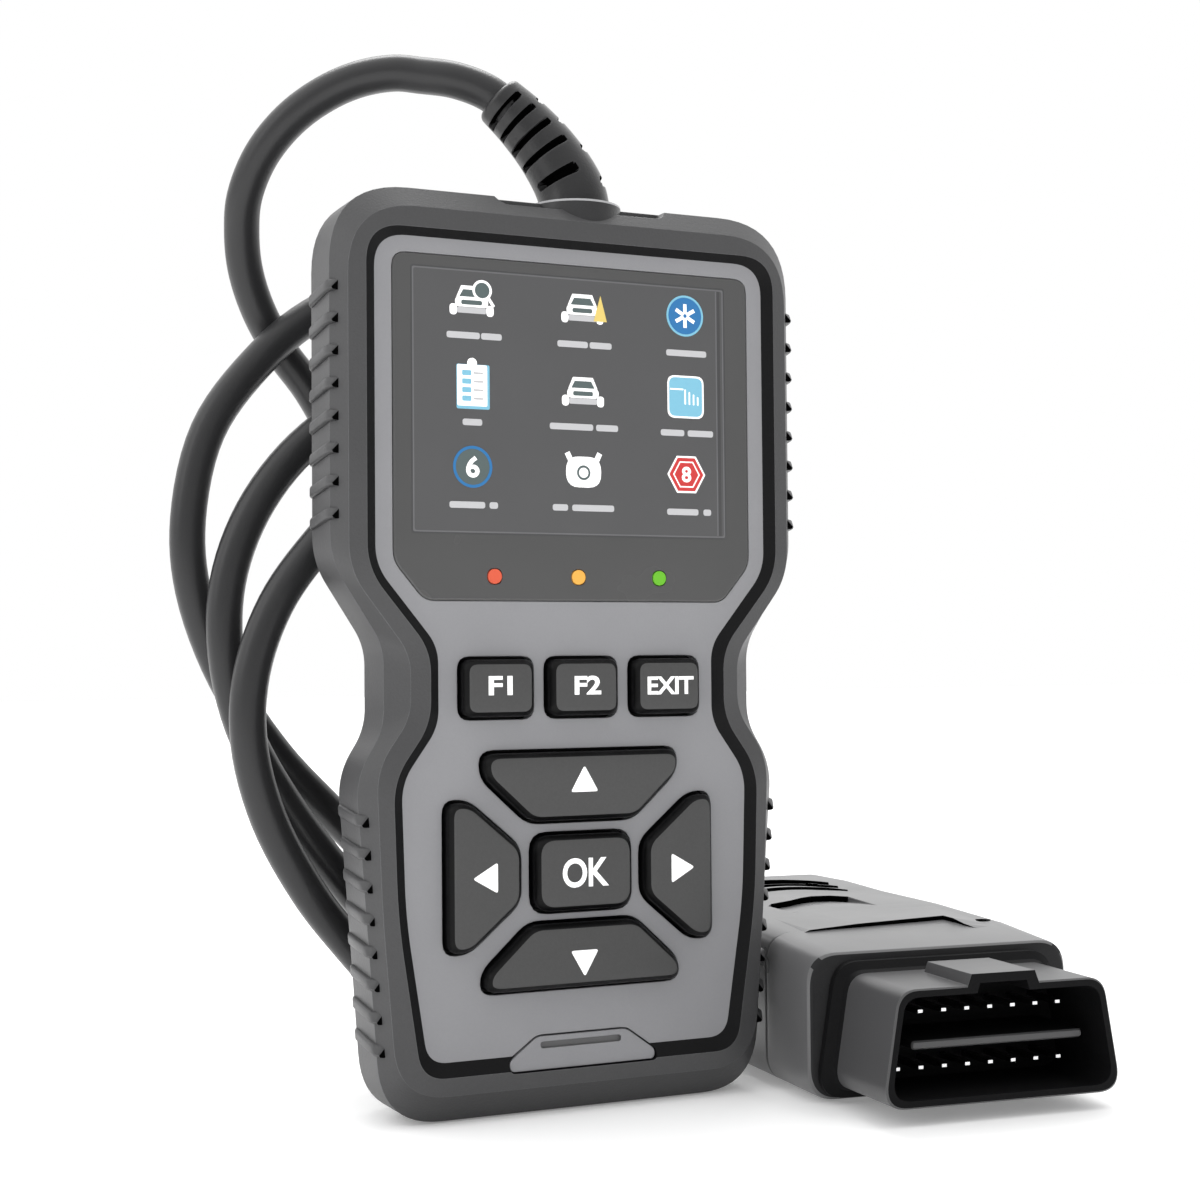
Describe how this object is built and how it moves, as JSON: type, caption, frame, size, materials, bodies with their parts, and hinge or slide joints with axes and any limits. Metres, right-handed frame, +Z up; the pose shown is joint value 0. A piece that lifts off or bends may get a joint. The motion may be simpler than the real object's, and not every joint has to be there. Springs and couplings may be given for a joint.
{
  "type": "obd code reader",
  "caption": "Handheld vehicle code reader with a rubber bumper, keypad and screen, standing on its lower edge, its cord wound behind it and its diagnostic plug alongside.",
  "frame": {"origin": "on the surface, below the middle of the scanner's box", "axes": "+Z up along the scanner, its screen faces -Y, +X to the right of someone facing the screen"},
  "size_m": [0.1393, 0.1663, 0.1666],
  "materials": {
    "bumper_rubber": "satin moulded rubber",
    "grey_cover": "satin grey paint on plastic",
    "dark_plastic": "fine matte grain",
    "lens": "glossy smoked window",
    "display": "switched-off panel behind the window",
    "key_rubber": "satin",
    "circuit_board": "solder mask",
    "chip": "moulded epoxy",
    "label": "blank satin film",
    "light_red": "clear coloured",
    "light_amber": "clear coloured",
    "light_green": "clear coloured",
    "cord_jacket": "satin jacket",
    "screws": "zinc plated",
    "pins": "bright tin plate"
  },
  "bodies": {
    "housing": {"rubber_bumper": "bumper_rubber", "front_cover": "grey_cover", "bottom_tab": "grey_cover", "rear_cover": "dark_plastic", "strain_relief": "dark_plastic", "connector_shroud": "dark_plastic", "plug_front_cap": "dark_plastic", "plug_top_shell": "dark_plastic", "plug_bottom_shell": "dark_plastic", "plug_strain_relief": "dark_plastic", "display_lens": "lens", "lcd_glass": "display", "lcd_tray": "screws", "main_board": "circuit_board", "plug_board": "circuit_board", "keypad_mat": "key_rubber", "processor_chip": "chip", "transceiver_chip": "chip", "buzzer": "chip", "cable_header": "label", "rear_label": "label", "light_guide_red": "light_red", "light_guide_amber": "light_amber", "light_guide_green": "light_green", "cord": "cord_jacket", "cord_tie": "bumper_rubber", "plug_screw_1": "screws", "plug_screw_2": "screws", "case_screw_1": "screws", "case_screw_2": "screws", "case_screw_3": "screws", "case_screw_4": "screws", "case_screw_5": "screws", "case_screw_6": "screws", "plug_pin_01": "pins", "plug_pin_02": "pins", "plug_pin_03": "pins", "plug_pin_04": "pins", "plug_pin_05": "pins", "plug_pin_06": "pins", "plug_pin_07": "pins", "plug_pin_08": "pins", "plug_pin_09": "pins", "plug_pin_10": "pins", "plug_pin_11": "pins", "plug_pin_12": "pins", "plug_pin_13": "pins", "plug_pin_14": "pins", "plug_pin_15": "pins", "plug_pin_16": "pins"},
    "key_f1_body": {"key_f1": "key_rubber"},
    "key_f2_body": {"key_f2": "key_rubber"},
    "key_exit_body": {"key_exit": "key_rubber"},
    "key_up_body": {"key_up": "key_rubber"},
    "key_down_body": {"key_down": "key_rubber"},
    "key_left_body": {"key_left": "key_rubber"},
    "key_right_body": {"key_right": "key_rubber"},
    "key_ok_body": {"key_ok": "key_rubber"}
  },
  "joints": [
    {"name": "key_f1_press", "type": "slide", "parent": "housing", "child": "key_f1_body", "axis": [0, 1, 0], "range_m": [0, 0.0009], "stiffness_N_per_m": 1500},
    {"name": "key_f2_press", "type": "slide", "parent": "housing", "child": "key_f2_body", "axis": [0, 1, 0], "range_m": [0, 0.0009], "stiffness_N_per_m": 1500},
    {"name": "key_exit_press", "type": "slide", "parent": "housing", "child": "key_exit_body", "axis": [0, 1, 0], "range_m": [0, 0.0009], "stiffness_N_per_m": 1500},
    {"name": "key_up_press", "type": "slide", "parent": "housing", "child": "key_up_body", "axis": [0, 1, 0], "range_m": [0, 0.0009], "stiffness_N_per_m": 1500},
    {"name": "key_down_press", "type": "slide", "parent": "housing", "child": "key_down_body", "axis": [0, 1, 0], "range_m": [0, 0.0009], "stiffness_N_per_m": 1500},
    {"name": "key_left_press", "type": "slide", "parent": "housing", "child": "key_left_body", "axis": [0, 1, 0], "range_m": [0, 0.0009], "stiffness_N_per_m": 1500},
    {"name": "key_right_press", "type": "slide", "parent": "housing", "child": "key_right_body", "axis": [0, 1, 0], "range_m": [0, 0.0009], "stiffness_N_per_m": 1500},
    {"name": "key_ok_press", "type": "slide", "parent": "housing", "child": "key_ok_body", "axis": [0, 1, 0], "range_m": [0, 0.0009], "stiffness_N_per_m": 1500}
  ]
}
